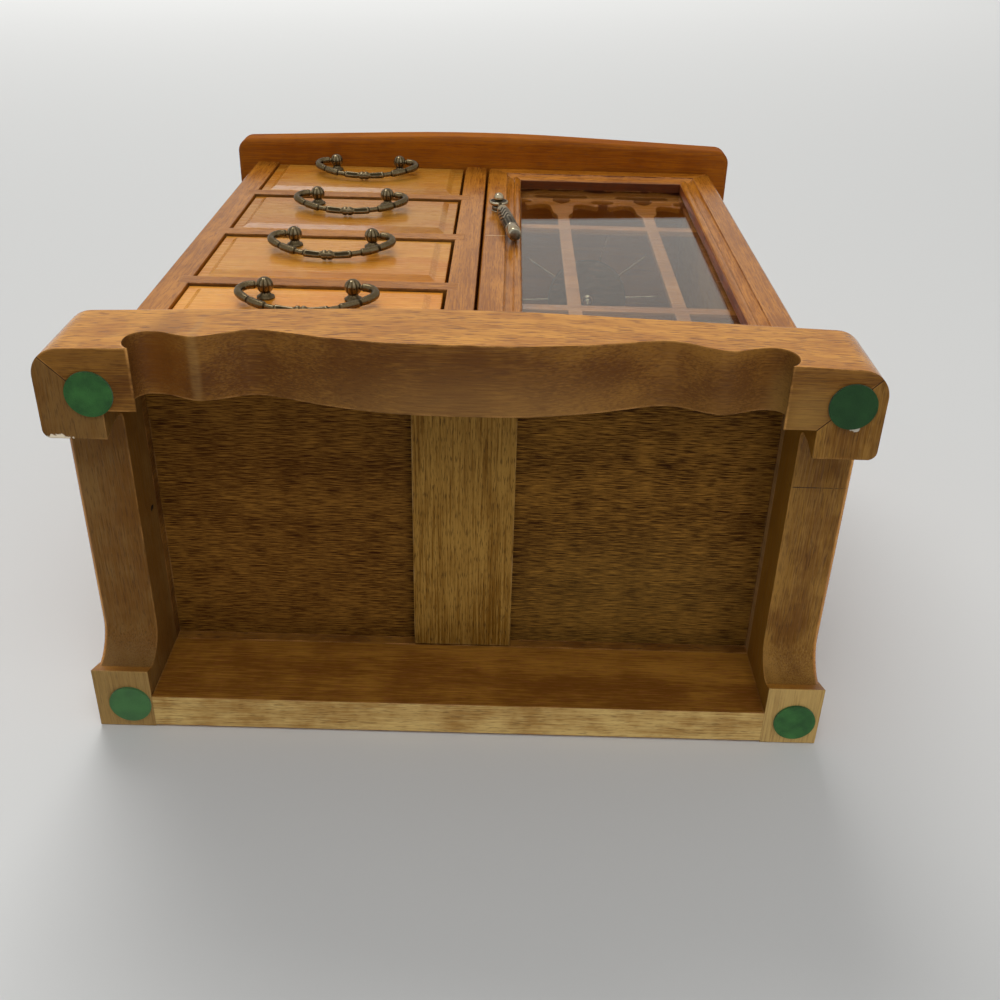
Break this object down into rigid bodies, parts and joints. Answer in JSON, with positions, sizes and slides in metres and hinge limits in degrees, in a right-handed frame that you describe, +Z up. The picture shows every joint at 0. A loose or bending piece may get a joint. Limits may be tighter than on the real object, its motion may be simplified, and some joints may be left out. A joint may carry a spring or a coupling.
{
  "type": "desktop cabinet with doors",
  "caption": "Tabletop jewellery cabinet: bail-pull drawers beside a glazed tracery door over a hook carousel, bowed top and scalloped bracket-foot base.",
  "frame": {"origin": "middle of the footprint, on the surface that the felt pads stand on", "axes": "+Z up, -Y towards the front with the drawers and the door, +X towards the hinged side of the door"},
  "size_m": [0.28, 0.1646, 0.308],
  "materials": {
    "case_wood": "satin honey-brown lacquer over straight-grained hardwood",
    "drawer_front_wood": "glossy honey lacquer, lighter than the case",
    "drawer_box_wood": "thin satin lacquer",
    "plywood": "dark stained open-grained plywood",
    "green_felt": "dense green felt",
    "lining_felt": "flocked lining",
    "antique_brass": "darkened cast brass, rubbed bright on the high points",
    "bright_brass": "polished brass",
    "steel": "plated sheet steel",
    "brown_plastic": "moulded matt plastic",
    "glass": "clear flat glass"
  },
  "bodies": {
    "cabinet": {"top_board": "case_wood", "side_panel_left": "case_wood", "side_panel_right": "case_wood", "centre_partition": "case_wood", "drawer_dividers": "case_wood", "front_sill": "case_wood", "back_sill": "case_wood", "floor_panel": "plywood", "floor_batten": "case_wood", "back_panel": "plywood", "base_front_apron": "case_wood", "base_side_apron_left": "case_wood", "base_side_apron_right": "case_wood", "base_back_rail": "case_wood", "felt_pads": "green_felt", "case_hinge_leaves": "bright_brass", "door_catch": "brown_plastic", "carousel_pivot": "bright_brass", "carousel_finial": "bright_brass"},
    "drawer_1": {"drawer_1_front": "drawer_front_wood", "drawer_1_sides": "drawer_box_wood", "drawer_1_back": "drawer_box_wood", "drawer_1_bottom": "drawer_box_wood", "drawer_1_lining": "lining_felt", "drawer_1_pull_posts": "antique_brass"},
    "drawer_1_pull": {"drawer_1_bail": "antique_brass"},
    "drawer_2": {"drawer_2_front": "drawer_front_wood", "drawer_2_sides": "drawer_box_wood", "drawer_2_back": "drawer_box_wood", "drawer_2_bottom": "drawer_box_wood", "drawer_2_lining": "lining_felt", "drawer_2_pull_posts": "antique_brass"},
    "drawer_2_pull": {"drawer_2_bail": "antique_brass"},
    "drawer_3": {"drawer_3_front": "drawer_front_wood", "drawer_3_sides": "drawer_box_wood", "drawer_3_back": "drawer_box_wood", "drawer_3_bottom": "drawer_box_wood", "drawer_3_lining": "lining_felt", "drawer_3_pull_posts": "antique_brass"},
    "drawer_3_pull": {"drawer_3_bail": "antique_brass"},
    "drawer_4": {"drawer_4_front": "drawer_front_wood", "drawer_4_sides": "drawer_box_wood", "drawer_4_back": "drawer_box_wood", "drawer_4_bottom": "drawer_box_wood", "drawer_4_lining": "lining_felt", "drawer_4_pull_posts": "antique_brass"},
    "drawer_4_pull": {"drawer_4_bail": "antique_brass"},
    "door": {"door_stile_left": "case_wood", "door_stile_right": "case_wood", "door_rail_top": "case_wood", "door_rail_bottom": "case_wood", "door_glass": "glass", "glass_retaining_strips": "case_wood", "door_fretwork": "case_wood", "door_hinge_leaves": "bright_brass", "door_strike": "steel", "door_pull_post": "antique_brass"},
    "door_pull": {"door_pull_drop": "antique_brass"},
    "carousel": {"carousel_disc": "case_wood", "carousel_hooks": "bright_brass"}
  },
  "joints": [
    {"name": "drawer_1_slide", "type": "slide", "parent": "cabinet", "child": "drawer_1", "axis": [0, -1, 0], "range_m": [0, 0.11]},
    {"name": "drawer_1_bail_hinge", "type": "hinge", "parent": "drawer_1", "child": "drawer_1_pull", "pos_m": [-0.06085, -0.07227, 0.2755], "axis": [-1, 0, 0], "range_deg": [0, 95]},
    {"name": "drawer_2_slide", "type": "slide", "parent": "cabinet", "child": "drawer_2", "axis": [0, -1, 0], "range_m": [0, 0.11]},
    {"name": "drawer_2_bail_hinge", "type": "hinge", "parent": "drawer_2", "child": "drawer_2_pull", "pos_m": [-0.06085, -0.07227, 0.209], "axis": [-1, 0, 0], "range_deg": [0, 95]},
    {"name": "drawer_3_slide", "type": "slide", "parent": "cabinet", "child": "drawer_3", "axis": [0, -1, 0], "range_m": [0, 0.11]},
    {"name": "drawer_3_bail_hinge", "type": "hinge", "parent": "drawer_3", "child": "drawer_3_pull", "pos_m": [-0.06085, -0.07227, 0.1425], "axis": [-1, 0, 0], "range_deg": [0, 95]},
    {"name": "drawer_4_slide", "type": "slide", "parent": "cabinet", "child": "drawer_4", "axis": [0, -1, 0], "range_m": [0, 0.11]},
    {"name": "drawer_4_bail_hinge", "type": "hinge", "parent": "drawer_4", "child": "drawer_4_pull", "pos_m": [-0.06085, -0.07227, 0.076], "axis": [-1, 0, 0], "range_deg": [0, 95]},
    {"name": "door_hinge", "type": "hinge", "parent": "cabinet", "child": "door", "pos_m": [0.1235, -0.05042, 0.17], "axis": [0, 0, 1], "range_deg": [0, 110]},
    {"name": "door_pull_swing", "type": "hinge", "parent": "door", "child": "door_pull", "pos_m": [0.0096, -0.06842, 0.2075], "axis": [0, 1, 0], "range_deg": [-35, 35]},
    {"name": "carousel_spin", "type": "hinge", "parent": "cabinet", "child": "carousel", "pos_m": [0.0607, 0.00493, 0.2845], "axis": [0, 0, 1], "continuous": true}
  ]
}
